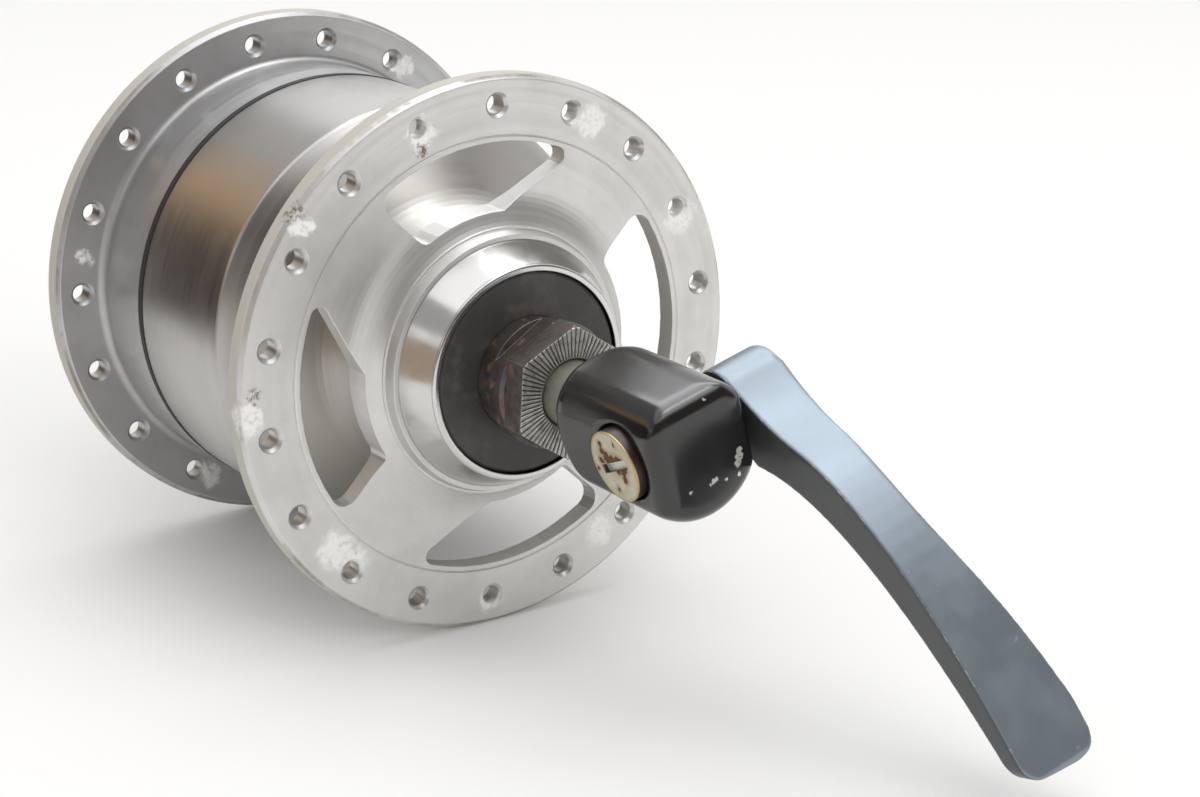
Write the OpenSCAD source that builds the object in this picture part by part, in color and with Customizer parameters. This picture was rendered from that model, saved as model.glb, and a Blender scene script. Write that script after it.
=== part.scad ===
// Front hub dynamo with a quick-release skewer.
// The hub axis is Y, the lever end is -Y, Z is up, and the origin is midway between the locknut faces.
// Units are millimetres.

/* [Hub] */
// Distance over the locknut faces
locknut_span = 100; // [96:0.5:110]
// Distance over the outer faces of the two spoke flanges
flange_span = 61.5; // [58:0.5:64]
// Distance of the near balls outboard of the near flange face
bearing_out = 3.85; // [3.5:0.05:4.4]
// Distance of the far balls inboard of the far flange face
bearing_in = 2.15; // [1.6:0.05:2.8]
// Height of the neck above the polished lip
neck_rise = 2.92; // [2.4:0.02:4]

/* [Flanges] */
// Outer diameter of both flanges
flange_d = 78.2; // [70:0.1:90]
// Thickness of the flange rim
flange_t = 3.5; // [2.8:0.1:4.5]
// Width of the bevels on the rim
rim_bevel = 0.7; // [0.3:0.1:1.2]
// Distance from the spoke circle to the rim
spoke_edge = 4.1; // [3.2:0.1:5]
// Spoke holes in each flange
spoke_count = 18; // [10:1:20]
// Spoke hole diameter
spoke_hole_d = 2.6; // [2.2:0.1:3.2]
// Width of the countersink round a spoke hole
spoke_sink = 0.5; // [0.2:0.05:0.7]
// Angle of the first spoke hole of the near flange
spoke_phase = 8.5; // [0:0.5:20]
// Thickness of the spider web
web_t = 3; // [2.4:0.1:3.4]
// Windows in the spider
window_count = 4; // [3:1:4]
// Width of the rim outside the windows
rim_w = 9; // [7.6:0.1:11]
// Distance from the step of the boss to the windows
window_root = 1.9; // [1.2:0.1:4]
// Angle of the middle of the first window
window_phase = 95.2; // [0:0.1:120]
// Angle that a window spans near the rim
window_span = 61; // [50:1:64]
// Distance from the windows to the fine turned groove in the rim
groove_gap = 0.75; // [0.4:0.05:1.2]
// Height of the step where the spider meets the polished boss
boss_step = 0.8; // [0.5:0.1:1.6]

/* [Drum] */
// How far the far flange stands out of the drum
drum_step = 7.5; // [6.4:0.1:9]
// Length of plain neck behind the near flange
neck_len = 0.8; // [0.2:0.1:3]
// Wall of the drum
drum_wall = 2.6; // [2.2:0.1:3]
// Axial run of the conical end wall
wall_run = 9.2; // [8:0.1:10]
// Height of the fillet between neck and conical wall
wall_foot = 3; // [2:0.1:4]
// Distance from the seam to the far flange
seam_gap = 12; // [10:0.5:14]
// Width of the seam
seam_w = 1.2; // [0.8:0.1:1.6]

/* [Bearings] */
// Ball diameter
ball_d = 4.76; // [3.97:0.01:4.9]
// Balls in each retainer
ball_count = 9; // [6:1:9]
// Diameter of the circle through the ball centres
ball_circle_d = 19.2; // [18.8:0.1:20]
// Wall of the bearing cup outside the balls
cup_wall = 1.4; // [1:0.1:1.8]
// Wall of the polished lip round the dust cap
lip_wall = 0.9; // [0.6:0.1:1.2]
// Distance across the cone's wrench flats
cone_flats = 15; // [14:0.1:16]

/* [Axle] */
// Axle thread diameter
axle_d = 9; // [8.8:0.1:9.6]
// How much thinner the plain axle ends are than the thread
axle_end_drop = 0.2; // [0.1:0.05:0.4]
// How far the axle stands out of the locknuts
axle_over = 4; // [3:0.1:6]
// Bore of the axle
axle_bore_d = 5.6; // [5.4:0.1:6]
// Diameter of the thick middle that carries the stator
axle_mid_d = 11; // [10.6:0.1:12]
// Thickness of each locknut
locknut_t = 4; // [3.5:0.1:5]
// Distance across the locknut flats
locknut_flats = 16; // [15:0.5:17]
// Angle of one corner of the near locknut
locknut_turn = 86.5; // [0:0.5:90]
// Ridges on the clamping face of a locknut
ridge_count = 72; // [36:1:72]
// Depth of the grooves between the ridges
ridge_depth = 0.3; // [0.15:0.05:0.4]
// How far the near cone's wrench flats are turned from the horizontal
cone_turn = 58; // [-90:1:90]

/* [Generator] */
// Poles on each claw yoke
claw_count = 14; // [8:1:16]
// Length of the drum left free of the steel ring
iron_room = 11.7; // [11.4:0.1:14]
// Thickness of the steel ring
iron_t = 2.4; // [1.8:0.1:2.8]
// Thickness of the magnets
magnet_t = 2.2; // [1.6:0.1:2.6]
// Gap between magnets and claws
air_gap = 0.35; // [0.25:0.05:0.6]
// Thickness of the yoke discs
yoke_t = 2; // [1.6:0.1:2.4]
// Thickness of the claws
claw_t = 1.8; // [1.4:0.1:2.2]
// Diameter of the stator core
core_d = 18; // [17:0.2:20]

/* [Terminal] */
// Thickness of the terminal block along the axle
block_t = 6; // [5:0.1:7]
// Width of the terminal block
block_w = 14; // [12.5:0.5:16]
// Height of the block above the axle
block_h = 15; // [13:0.5:18]
// Length of the blades above the block
blade_h = 7; // [5:0.5:9]
// Width of a blade
blade_w = 2.8; // [2:0.1:3.2]
// Thickness of a blade
blade_t = 0.8; // [0.5:0.1:1]

/* [Skewer] */
// Skewer rod diameter
rod_d = 5; // [4.6:0.1:5.1]
// How far the skewer is turned about the axle
skewer_turn = 15.5; // [-30:0.5:30]
// Distance from the axle end to the lever pivot
pivot_reach = 17.1; // [16:0.1:20]
// Gap between the axle end and the cam housing
housing_gap = 2.2; // [0.5:0.1:3]
// Diameter of the cam housing round its underside
housing_d = 18.8; // [18.4:0.1:21]
// Height of the cam housing's flat top above the axle
housing_top = 7.8; // [7.4:0.1:8.6]
// Radius of the two long edges beside the flat top
corner_round = 4.8; // [3.6:0.1:5.4]
// Radius along the straight edges of the cam housing's end face
end_round = 2.4; // [1:0.1:2.6]
// Distance from the lever pivot to the outer end of the cam housing
housing_end = 7.6; // [7:0.1:10]
// Diameter of the inboard face of the cam housing
housing_base_d = 12; // [11.6:0.1:15]
// Axial length of the conical shoulder
housing_shoulder = 4.6; // [3:0.1:6]
// Radius round the outer end of the cam housing
housing_round = 2.4; // [1.6:0.1:5]
// Offset of the flat on the slotted side
flat_cap = 7.4; // [7:0.1:8]
// Offset of the flat on the lever side
flat_lever = 7.9; // [7:0.1:8.5]
// How far the slotted cap stands out of its flat
cap_proud = 1; // [0.2:0.1:1.4]
// Diameter of the slotted cap
cap_d = 9.6; // [9:0.1:10]
// Eccentric throw of the cam shaft
cam_throw = 0.75; // [0.4:0.05:0.85]
// Diameter of the eccentric
cam_d = 5; // [4.6:0.1:5.2]
// Distance from the axle end to the adjusting nut
nut_gap = 6.5; // [3:0.5:10]
// Length of the adjusting nut
nut_len = 13.5; // [11:0.5:16]
// Diameter of the adjusting nut's clamping face
nut_d = 17; // [15:0.2:19]

/* [Lever] */
// Width of the lever at its root boss
lever_root_w = 8.6; // [7:0.1:9.5]
// Width of the lever where it is narrowest
lever_neck_w = 7; // [6:0.1:8]
// Width of the lever at its tip
lever_tip_w = 11.4; // [10:0.1:15]
// Diameter of the lever's root boss
lever_boss_d = 10.3; // [10:0.1:13]
// Reach of the tip outward from the pivot
lever_reach = 47.6; // [42:0.2:54]
// Drop of the tip below the pivot
lever_drop = 35.9; // [30:0.1:40]
// Thickness of the lever at the root
lever_root_t = 6.1; // [5.4:0.1:7]
// Thickness of the lever at the tip
lever_tip_t = 3; // [2.4:0.1:4]
// Radius of the tip's corners
lever_tip_round = 3.2; // [1:0.1:4.5]

/* [Fits] */
// Radial clearance of pressed pieces in their seats
press_gap = 0.02; // [0.01:0.01:0.04]
// Radial clearance of running and threaded fits
run_gap = 0.05; // [0.03:0.01:0.08]
// Clearance between pieces that pass each other
free_gap = 0.3; // [0.2:0.05:0.4]

/* [Hidden] */
$fn = 96;
EPS = 0.01;
BIG = 400;

// Axial stations from the near end to the far end
y_nut_near = -locknut_span / 2;
y_nut_far = locknut_span / 2;
y_flange_near = -flange_span / 2;
y_flange_far = flange_span / 2;
y_ball_near = y_flange_near - bearing_out;
y_ball_far = y_flange_far - bearing_in;
y_axle_near = y_nut_near - axle_over;
y_axle_far = y_nut_far + axle_over;
y_block = y_nut_far - locknut_t - block_t;

// Bearing radii, and distances outboard of the ball plane
ball_r = ball_d / 2;
ball_circle_r = ball_circle_d / 2;
race_gap = 0.06;
race_r = ball_r + race_gap;
cup_r = ball_circle_r + ball_r + cup_wall;
cup_out = ball_r - 0.08;
cup_depth = 1.32;
cup_in = -ball_r - cup_depth;
cup_bore_r = ball_circle_r - 0.5 * ball_r;
cone_r = ball_circle_r - 0.67 * ball_r;
cone_tip_r = ball_circle_r - race_r - race_gap;
cone_collar = 0.7;
cone_collar_r = cone_r + cone_collar;
cone_in = -1.7;
seal_rim = 0.8;
seal_r = cup_r + seal_rim;
seal_t = 0.8;
seal_gap = 0.35;
seal_out = ball_r + seal_gap + seal_t;
dust_t = 0.8;
dust_gap = 0.4;
dust_in = seal_out + dust_gap;
dust_out = dust_in + dust_t;
lip_over = 0.15;
lip_out = dust_out + lip_over;
lip_r = seal_r + lip_wall;
lip_round = 0.4;
retainer_t = 1;
retainer_in = 0.9;
retainer_low = 0.5;
retainer_high = 1.5;
pocket_gap = 0.03;

// Spider collar on the neck
collar_nose = 3.5;
collar_tail = 5.25;
collar_sink = 0.7;
collar_ring = 0.7;
step_ring = 0.3;
step_drop = 0.25;
collar_front = y_flange_near - collar_nose;
collar_back = y_flange_near + collar_tail;
neck_r = lip_r + neck_rise;
collar_seat_r = neck_r - collar_sink;
collar_bore_r = collar_seat_r + press_gap;
boss_step_r = neck_r + boss_step;
step_back = 1.75;
boss_step_y = y_flange_near - step_back;
web_sweep = 5.2;
web_flat_r = boss_step_r + web_sweep;
web_arc_r = (pow(web_sweep, 2) + pow(step_back, 2)) / (2 * step_back);
web_arc_angle = asin(web_sweep / web_arc_r);

// Rims, spoke circle and windows
flange_r = flange_d / 2;
spoke_r = flange_r - spoke_edge;
window_outer_r = flange_r - rim_w;
window_inner_r = boss_step_r + window_root;
groove_r = window_outer_r + groove_gap;

// Drum, seam and far cap
drum_r = flange_r - drum_step;
drum_bore_r = drum_r - drum_wall;
wall_foot_r = neck_r + wall_foot;
wall_angle = atan2(drum_r - wall_foot_r, wall_run);
fillet_r = wall_foot / (1 - cos(wall_angle));
y_fillet = collar_back + neck_len;
y_wall_foot = y_fillet + fillet_r * sin(wall_angle);
y_shoulder = y_wall_foot + wall_run;
y_far_inner = y_flange_far - flange_t;
y_seam = y_far_inner - seam_gap - seam_w;
spigot_r = drum_r - drum_wall / 2;
iron_ledge = 2.9;
y_iron = y_shoulder + iron_ledge;
iron_len = y_far_inner - y_shoulder - iron_room;
spigot_over = 1.5;
y_spigot = y_iron + iron_len + spigot_over;
cap_wall = 3;
cap_dish = 2.25;
y_cap_face = y_flange_far - cap_dish;
cup_ledge = 1;
cup_ledge_r = cup_r - 1.4;

// Generator radii and stations
iron_r = drum_bore_r - press_gap;
magnet_r = iron_r - iron_t - press_gap;
claw_r = magnet_r - magnet_t - air_gap;
stator_inset = 1;
y_stator = y_iron + stator_inset;
core_len = iron_len - 2 * stator_inset - 2 * yoke_t + 0.5;
y_core = y_stator + yoke_t;
y_yoke_far = y_core + core_len;
stator_end = y_yoke_far + yoke_t;
axle_mid_r = axle_mid_d / 2;
core_r = core_d / 2;
stator_nut_t = 3;
stator_nut_flats = 17;
claw_root_w = 0.41 * 360 / claw_count;
claw_tip_w = 0.25 * 360 / claw_count;
bobbin_wall = 0.8;
bobbin_r = claw_r - claw_t - 0.6;
wire_d = 0.9;
wire_gap = 0.1;
groove_floor = axle_bore_d / 2 + 0.3;

// Skewer stations, measured along the axle and across it
y_base = y_axle_near - housing_gap;
y_pivot = y_axle_near - pivot_reach;
y_housing_end = y_pivot - housing_end;
rod_r = rod_d / 2;
cam_r = cam_d / 2;
cam_slack = 0.45 * cam_throw + 0.02;
eye_hole_r = cam_r + cam_slack;
eye_r = eye_hole_r + cam_throw + 1;
eye_t = 5.4;
chamber_r = eye_r + free_gap;
chamber_end = y_pivot - eye_r - 2 * cam_throw - free_gap;
cam_open_angle = 120;
journal_r = cam_r + cam_throw + 0.75;
stub_r = cam_r - cam_throw;
cap_r = cap_d / 2;
cap_t = 2.4;
cap_face = flat_cap + cap_proud;
stub_end = cap_face - 1;
cap_gap = 0.2;
washer_t = 2.4;
washer_r = housing_base_d / 2 - 0.9;
lever_in = flat_lever + 0.7;
lever_boss_r = lever_boss_d / 2;
lever_edge = 0.7;
spigot_len = lever_root_w - 2;
spigot_shaft_r = journal_r - 1;
y_nut = y_axle_far + nut_gap;

// Points on an arc about a centre, from one angle to another
function arc(c, r, a0, a1, n = 8) =
    [for (i = [0:n]) [c[0] + r * cos(a0 + (a1 - a0) * i / n), c[1] + r * sin(a0 + (a1 - a0) * i / n)]];

// Point at a radius and an angle
function polar(r, a) = [r * cos(a), r * sin(a)];

// Points on a cubic curve with two end points and two handles
function curve(p, n = 26) =
    [for (i = [0:n])
        let (t = i / n, u = 1 - t)
        u * u * u * p[0] + 3 * u * u * t * p[1] + 3 * u * t * t * p[2] + t * t * t * p[3]];

// List with its order turned round
function reversed(p) = [for (i = [len(p) - 1:-1:0]) p[i]];

// Closed outline with some corners rounded, each to its own radius, and zero for a plain point
function rounded(p, radii, n = 5) =
    let (m = len(p))
    [for (i = [0:m - 1])
        let (
            a = p[(i + m - 1) % m] - p[i],
            b = p[(i + 1) % m] - p[i],
            ua = a / norm(a),
            ub = b / norm(b),
            half = acos(ua * ub) / 2,
            reach = radii[i] / tan(half),
            mid = (ua + ub) / norm(ua + ub),
            c = p[i] + mid * radii[i] / sin(half),
            s = p[i] + ua * reach - c,
            e = p[i] + ub * reach - c,
            a0 = atan2(s[1], s[0]),
            turn = atan2(s[0] * e[1] - s[1] * e[0], s * e),
            steps = radii[i] > 0 ? n : 0
        )
        for (k = [0:steps])
            radii[i] > 0 ? c + radii[i] * [cos(a0 + turn * k / n), sin(a0 + turn * k / n)] : p[i]];

// Solid of revolution about the hub axis from points of radius and station
module turned(points) {
    rotate([-90, 0, 0])
        rotate_extrude()
            polygon(points);
}

// Ring about the hub axis
module ring(r_in, r_out, y0, y1) {
    turned([[r_in, y0], [r_out, y0], [r_out, y1], [r_in, y1]]);
}

// Rectangle between two corners with its corners rounded
module rounded_plate(x0, x1, y0, y1, r) {
    translate([x0 + r, y0])
        square([x1 - x0 - 2 * r, y1 - y0]);
    translate([x0, y0 + r])
        square([x1 - x0, y1 - y0 - 2 * r]);
    for (x = [x0 + r, x1 - r])
        for (y = [y0 + r, y1 - r])
            translate([x, y])
                circle(r = r);
}

// Solid cylinder along the hub axis
module bar(r, y0, y1) {
    translate([0, y0, 0])
        rotate([-90, 0, 0])
            cylinder(r = r, h = y1 - y0);
}

// Cylinder along the lever pivot, in the skewer's own axes
module cross_bar(r, x0, x1) {
    translate([x0, 0, 0])
        rotate([0, 90, 0])
            cylinder(r = r, h = x1 - x0);
}

// Places children drawn at the pivot, turned with the skewer
module at_pivot() {
    translate([0, y_pivot, 0])
        rotate([0, -skewer_turn, 0])
            children();
}

// Bearing pieces are drawn for the near side with the ball plane at zero and outboard negative
module near_side() {
    translate([0, y_ball_near, 0])
        children();
}

// The far bearing is the near one mirrored
module far_side() {
    translate([0, y_ball_far, 0])
        mirror([0, 1, 0])
            children();
}

// Groove that the balls run in
module race() {
    rotate([-90, 0, 0])
        rotate_extrude()
            translate([ball_circle_r, 0])
                circle(r = race_r, $fn = 48);
}

// Cone with its race, seal land, collar and two wrench flats, reaching out to the locknut
module cone_body(reach) {
    room = reach - dust_out;
    collar_len = 0.45 * room;
    taper = 0.1 * room;
    bevel = 0.06 * room;
    collar_in = -reach + collar_len;
    difference() {
        turned([
            [axle_d / 2 + press_gap, -reach],
            [cone_collar_r - bevel, -reach],
            [cone_collar_r, -reach + bevel],
            [cone_collar_r, collar_in],
            [cone_r, collar_in + taper],
            [cone_r, 0],
            [cone_tip_r, 0],
            [cone_tip_r, -cone_in - race_gap],
            [cone_tip_r - race_gap, -cone_in],
            [axle_d / 2 + press_gap, -cone_in]
        ]);
        race();
        for (s = [-1, 1])
            translate([s * (cone_flats + cone_collar_r) / 2, -reach + collar_len / 2 - EPS, 0])
                cube([cone_collar_r, collar_len, 3 * cone_collar_r], center = true);
    }
}

// Cup pressed into the shell, with its race
module cup_body() {
    difference() {
        turned([
            [cup_bore_r, -cup_in],
            [cup_r, -cup_in],
            [cup_r, -cup_out],
            [cup_r - 1.1, -cup_out],
            [ball_circle_r + 0.8 * ball_r, 0],
            [cup_bore_r, 0.5]
        ]);
        race();
    }
}

// Rubber ring with a thick rim against the cup and a lip close to the cone
module lip_seal_body() {
    color("dimgray")
        turned([
            [cone_r + run_gap, -seal_out],
            [seal_r - press_gap, -seal_out],
            [seal_r - press_gap, -cup_out],
            [cup_r - 0.9, -cup_out],
            [cup_r - 1.2, -seal_out + seal_t],
            [cone_r + 0.9, -seal_out + seal_t],
            [cone_r + run_gap, -seal_out + 0.4 * seal_t]
        ]);
}

// Flat black disc pressed on the cone
module dust_cap_body() {
    color("#3a3737")
        turned([
            [cone_r + press_gap, -dust_in - dust_t],
            [seal_r - 0.6, -dust_in - dust_t],
            [seal_r - 0.25, -dust_in - dust_t + 0.3],
            [seal_r - 0.25, -dust_in],
            [cone_r + press_gap, -dust_in]
        ]);
}

// Full set of balls, evenly spaced
module balls_body() {
    color("lightsteelblue")
        for (i = [0:ball_count - 1])
            rotate([0, i * 360 / ball_count, 0])
                translate([ball_circle_r, 0, 0])
                    sphere(r = ball_r, $fn = 48);
}

// Ring that spaces the balls, with a pocket for each
module retainer_body() {
    color("darkkhaki")
        difference() {
            ring(ball_circle_r - retainer_low, ball_circle_r + retainer_high,
                -retainer_in - retainer_t, -retainer_in);
            for (i = [0:ball_count - 1])
                rotate([0, i * 360 / ball_count, 0])
                    translate([ball_circle_r, 0, 0])
                        sphere(r = ball_r + pocket_gap, $fn = 48);
        }
}

// Hexagon nut with chamfered corners and a serrated clamping face
module locknut_body(turn) {
    corner_r = locknut_flats / 2 / cos(30);
    mouth = 0.5;
    ridge_start = axle_d / 2 + 0.4;
    groove_w = 0.94 * 2 * PI * ridge_start / ridge_count;
    difference() {
        intersection() {
            rotate([0, -turn, 0])
                rotate([-90, 0, 0])
                    cylinder(r = corner_r, h = locknut_t, $fn = 6);
            turned([
                [0, 0],
                [locknut_flats / 2 + 0.85, 0],
                [corner_r + 0.2, 0.8],
                [corner_r + 0.2, locknut_t],
                [0, locknut_t]
            ]);
        }
        bar(axle_d / 2 + press_gap, -1, locknut_t + 1);
        turned([
            [0, -EPS],
            [axle_d / 2 + mouth, -EPS],
            [axle_d / 2, mouth],
            [0, mouth]
        ]);
        for (i = [0:ridge_count - 1])
            rotate([0, -turn - i * 360 / ridge_count, 0])
                translate([ridge_start, 0, 0])
                    rotate([90, 0, 90])
                        linear_extrude(height = corner_r)
                            polygon([[-EPS, -groove_w / 2], [ridge_depth, 0], [-EPS, groove_w / 2]]);
    }
}

// Hollow axle with a thick middle, a stop collar and a groove for the lead
module axle() {
    r = axle_d / 2;
    end_r = (axle_d - axle_end_drop) / 2;
    bevel = 0.5;
    collar_r = axle_mid_r + 1.5;
    color("#c8bfa4")
        difference() {
            turned([
                [axle_bore_d / 2, y_axle_near],
                [end_r - bevel, y_axle_near],
                [end_r, y_axle_near + bevel],
                [end_r, y_nut_near],
                [r, y_nut_near + bevel],
                [r, y_stator - 4],
                [collar_r, y_stator - 4],
                [collar_r, y_stator],
                [axle_mid_r, y_stator],
                [axle_mid_r, stator_end + stator_nut_t],
                [r, stator_end + stator_nut_t],
                [r, y_nut_far - bevel],
                [end_r, y_nut_far],
                [end_r, y_axle_far - bevel],
                [end_r - bevel, y_axle_far],
                [axle_bore_d / 2, y_axle_far]
            ]);
            translate([-wire_d / 2 - wire_gap, y_yoke_far - yoke_t, groove_floor])
                cube([wire_d + 2 * wire_gap, y_block + block_t / 2 + wire_d - y_yoke_far + yoke_t,
                    axle_mid_r]);
        }
}

// Bearing cone of the near side
module left_cone() {
    color("#4a403a")
        near_side()
            rotate([0, cone_turn, 0])
                cone_body(y_ball_near - y_nut_near - locknut_t);
}

// Bearing cone of the far side
module right_cone() {
    color("#4a403a")
        far_side()
            cone_body(y_block - y_ball_far);
}

// Locknut of the near side
module left_locknut() {
    color("#3b3029")
        translate([0, y_nut_near, 0])
            locknut_body(locknut_turn);
}

// Locknut of the far side
module right_locknut() {
    color("#3b3029")
        translate([0, y_nut_far, 0])
            mirror([0, 1, 0])
                locknut_body(locknut_turn);
}

// Dust cap of the near side
module left_dust_cap() {
    near_side()
        dust_cap_body();
}

// Dust cap of the far side
module right_dust_cap() {
    far_side()
        dust_cap_body();
}

// Steel tube that carries the flux through the coil
module stator_core() {
    color("slategray")
        ring(axle_mid_r + press_gap, core_r, y_core, y_yoke_far);
}

// Disc with claws that reach along the coil, drawn with its back at zero and claws toward +Y
module yoke_body() {
    claw_len = yoke_t + core_len - 1;
    root = claw_r * sin(claw_root_w / 2);
    tip = claw_r * sin(claw_tip_w / 2);
    ring(axle_mid_r + press_gap, claw_r - claw_t, 0, yoke_t);
    intersection() {
        ring(claw_r - claw_t - EPS, claw_r, 0, claw_len);
        for (i = [0:claw_count - 1])
            rotate([0, i * 360 / claw_count, 0])
                translate([0, 0, claw_r - claw_t - 1])
                    linear_extrude(height = claw_t + 2)
                        polygon([[-root, -1], [root, -1], [tip, claw_len + 1], [-tip, claw_len + 1]]);
    }
}

// Near claw yoke
module left_yoke() {
    color("gray")
        translate([0, y_stator, 0])
            yoke_body();
}

// Far claw yoke, half a pitch round, with a notch for the lead
module right_yoke() {
    color("gray")
        difference() {
            translate([0, stator_end, 0])
                mirror([0, 1, 0])
                    rotate([0, 180 / claw_count, 0])
                        yoke_body();
            translate([-wire_d / 2 - wire_gap, y_yoke_far - 1, 0])
                cube([wire_d + 2 * wire_gap, yoke_t + 2, core_r + 4]);
        }
}

// Plastic former between the yokes
module coil_bobbin() {
    color("ivory")
        difference() {
            turned([
                [core_r + run_gap, y_core],
                [bobbin_r, y_core],
                [bobbin_r, y_core + bobbin_wall],
                [core_r + run_gap + bobbin_wall, y_core + bobbin_wall],
                [core_r + run_gap + bobbin_wall, y_yoke_far - bobbin_wall],
                [bobbin_r, y_yoke_far - bobbin_wall],
                [bobbin_r, y_yoke_far],
                [core_r + run_gap, y_yoke_far]
            ]);
            translate([-wire_d / 2 - wire_gap, y_yoke_far - 2 * bobbin_wall, core_r + bobbin_wall + 1])
                cube([wire_d + 2 * wire_gap, 3 * bobbin_wall, bobbin_r]);
        }
}

// Copper winding that fills the bobbin
module coil_winding() {
    color("#b4632d")
        ring(core_r + bobbin_wall + 2 * run_gap, bobbin_r - 0.8,
            y_core + bobbin_wall + run_gap, y_yoke_far - bobbin_wall - run_gap);
}

// Hexagon nut that clamps the stator
module stator_nut() {
    color("silver")
        difference() {
            translate([0, stator_end, 0])
                rotate([-90, 0, 0])
                    cylinder(r = stator_nut_flats / 2 / cos(30), h = stator_nut_t, $fn = 6);
            bar(axle_mid_r + press_gap, stator_end - 1, stator_end + stator_nut_t + 1);
        }
}

// Plastic block on the axle with a raised rib between its two blades
module terminal_block() {
    y0 = y_block;
    r = block_w / 2 + 1.2;
    color("#26262a")
        difference() {
            union() {
                bar(r, y0, y0 + block_t);
                translate([-block_w / 2, y0, 0])
                    cube([block_w, block_t, block_h]);
                translate([-0.8, y0, block_h - EPS])
                    cube([1.6, block_t, blade_h]);
            }
            bar(axle_d / 2 + press_gap, y0 - 1, y0 + block_t + 1);
            for (s = [-1, 1])
                translate([s * block_w / 4, y0 + block_t / 2, block_h])
                    cube([blade_w + 2 * press_gap, blade_t + 2 * press_gap, 8], center = true);
            translate([-wire_d / 2 - wire_gap, y0 - 1, 0])
                cube([wire_d + 2 * wire_gap, block_t / 2 + 1 + wire_d, axle_d / 2 + 1.5]);
        }
}

// Two flat contact blades standing in the block
module terminal_blades() {
    y0 = y_block + block_t / 2;
    color("gold")
        for (s = [-1, 1])
            translate([s * block_w / 4 - blade_w / 2, y0 - blade_t / 2, block_h - 4])
                cube([blade_w, blade_t, blade_h + 3]);
}

// Insulated lead from the coil, in the axle groove, under the far cone and into the block
module lead_wire() {
    z = groove_floor + wire_d / 2 + press_gap;
    z_coil = core_r + bobbin_wall + 1.8;
    y_turn = stator_end - yoke_t / 2;
    y_tip = y_block + block_t / 2;
    color("crimson") {
        bar_at(z, y_turn, y_tip);
        translate([0, y_turn, z])
            cylinder(d = wire_d, h = z_coil - z);
        bar_at(z_coil, y_yoke_far - bobbin_wall, y_turn);
        translate([0, y_turn, z])
            sphere(d = wire_d, $fn = 24);
        translate([0, y_turn, z_coil])
            sphere(d = wire_d, $fn = 24);
    }
}

// Length of lead along the axle at a height
module bar_at(z, y0, y1) {
    translate([0, 0, z])
        bar(wire_d / 2, y0, y1);
}

// Shell with polished boss, neck, conical wall, drum and the spigot under the far cap
module hub_shell() {
    lip_y = y_ball_near - lip_out;
    inner_foot_r = cup_ledge_r + 4.5;
    color("#b9b7b2")
        turned(concat(
            [[seal_r, lip_y]],
            arc([lip_r - lip_round, lip_y + lip_round], lip_round, -90, 0),
            [
                [collar_seat_r, collar_front],
                [collar_seat_r, collar_back],
                [neck_r, collar_back]
            ],
            arc([neck_r + fillet_r, y_fillet], fillet_r, 180, 180 - wall_angle),
            arc([drum_r - 0.8, y_shoulder + 0.35], 0.8, -90 + 45, 0, 4),
            [
                [drum_r, y_seam],
                [spigot_r, y_seam],
                [spigot_r, y_spigot],
                [drum_bore_r, y_spigot],
                [drum_bore_r, y_iron],
                [drum_bore_r - iron_t, y_iron],
                [drum_bore_r - iron_t, y_iron - 2.2],
                [inner_foot_r, y_wall_foot + 1.2],
                [cup_ledge_r, y_wall_foot - 1],
                [cup_ledge_r, y_ball_near - cup_in],
                [cup_r + press_gap, y_ball_near - cup_in],
                [cup_r + press_gap, y_ball_near - cup_out],
                [seal_r, y_ball_near - cup_out]
            ]
        ));
}

// Ring of countersunk spoke holes through a flange whose outer face is at y0
module spoke_holes(y0, phase) {
    r = spoke_hole_d / 2;
    for (i = [0:spoke_count - 1])
        rotate([0, -phase - i * 360 / spoke_count, 0])
            translate([spoke_r, y0, 0])
                rotate([-90, 0, 0])
                    rotate_extrude($fn = 32)
                        polygon([
                            [0, -EPS],
                            [r + spoke_sink, -EPS],
                            [r, spoke_sink],
                            [r, flange_t - spoke_sink],
                            [r + spoke_sink, flange_t + EPS],
                            [0, flange_t + EPS]
                        ]);
}

// Outline of one window with its middle along +X, cut further in at one end as on a swirled spider
function window_outline() =
    let (
        half = window_span / 2 + 1,
        inner_start = 27,
        inner_end = -9,
        outer_steps = 12,
        inner_steps = 6,
        outer = [for (i = [0:outer_steps]) polar(window_outer_r, half * (2 * i / outer_steps - 1))],
        inner = [for (i = [0:inner_steps])
            polar(window_inner_r, inner_start + (inner_end - inner_start) * i / inner_steps)],
        plain_outer = [for (i = [2:outer_steps]) 0],
        plain_inner = [for (i = [1:inner_steps]) 0]
    )
    rounded(concat(outer, inner), concat([1.3], plain_outer, [2.2], [1.2], plain_inner));

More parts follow.
